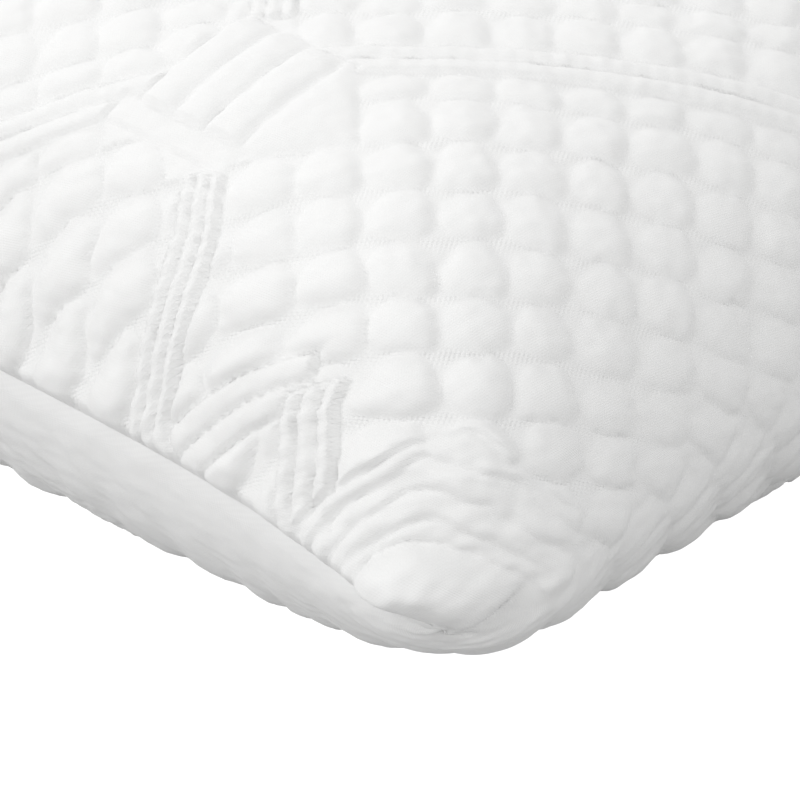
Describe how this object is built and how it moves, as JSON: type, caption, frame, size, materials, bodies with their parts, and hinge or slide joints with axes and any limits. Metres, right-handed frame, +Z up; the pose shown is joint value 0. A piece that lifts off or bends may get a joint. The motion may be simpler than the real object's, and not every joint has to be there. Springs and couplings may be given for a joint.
{
  "type": "bed pillow",
  "caption": "Quilted bed pillow: a folded knit cover with a zip along its back, around a zipped liner full of shredded foam.",
  "frame": {"origin": "middle of the face that the pillow rests on", "axes": "+X along the length, +Y across the width from the folded front to the zipped back, +Z up through the crown"},
  "size_m": [0.6264, 0.4777, 0.15],
  "materials": {
    "quilted_knit": "soft white jacquard knit, quilted in raised puffs",
    "sewing_thread": "white overlocked thread",
    "label_satin": "blank white satin",
    "zip_tape": "white woven tape",
    "zip_coil": "white nylon",
    "zip_metal": "white enamelled zinc",
    "liner_cloth": "plain white woven cloth",
    "shredded_foam": "shredded cream foam"
  },
  "bodies": {
    "pillow": {"cover_panel": "quilted_knit", "cover_left_seam": "sewing_thread", "cover_right_seam": "sewing_thread", "care_label": "label_satin", "cover_zip_upper_tape": "zip_tape", "cover_zip_lower_tape": "zip_tape", "cover_zip_upper_coil": "zip_coil", "cover_zip_lower_coil": "zip_coil", "cover_zip_top_stops": "zip_metal", "cover_zip_bottom_stop": "zip_metal", "liner_panel": "liner_cloth", "liner_left_seam": "sewing_thread", "liner_right_seam": "sewing_thread", "liner_zip_upper_tape": "zip_tape", "liner_zip_lower_tape": "zip_tape", "liner_zip_upper_coil": "zip_coil", "liner_zip_lower_coil": "zip_coil", "liner_zip_top_stops": "zip_metal", "liner_zip_bottom_stop": "zip_metal", "foam_filling": "shredded_foam"},
    "cover_slider": {"cover_zip_slider": "zip_metal"},
    "cover_pull": {"cover_zip_pull": "zip_metal"},
    "liner_slider": {"liner_zip_slider": "zip_metal"},
    "liner_pull": {"liner_zip_pull": "zip_metal"}
  },
  "joints": [
    {"name": "cover_zip_slide", "type": "slide", "parent": "pillow", "child": "cover_slider", "axis": [1, 0, 0], "range_m": [-0.49, 0]},
    {"name": "cover_pull_hinge", "type": "hinge", "parent": "cover_slider", "child": "cover_pull", "pos_m": [0.24876, 0.23275, 0.066], "axis": [0, 0, -1], "range_deg": [0, 150]},
    {"name": "liner_zip_slide", "type": "slide", "parent": "pillow", "child": "liner_slider", "axis": [1, 0, 0], "range_m": [-0.33, 0]},
    {"name": "liner_pull_hinge", "type": "hinge", "parent": "liner_slider", "child": "liner_pull", "pos_m": [0.16868, 0.22075, 0.066], "axis": [0, 0, -1], "range_deg": [0, 12]}
  ]
}
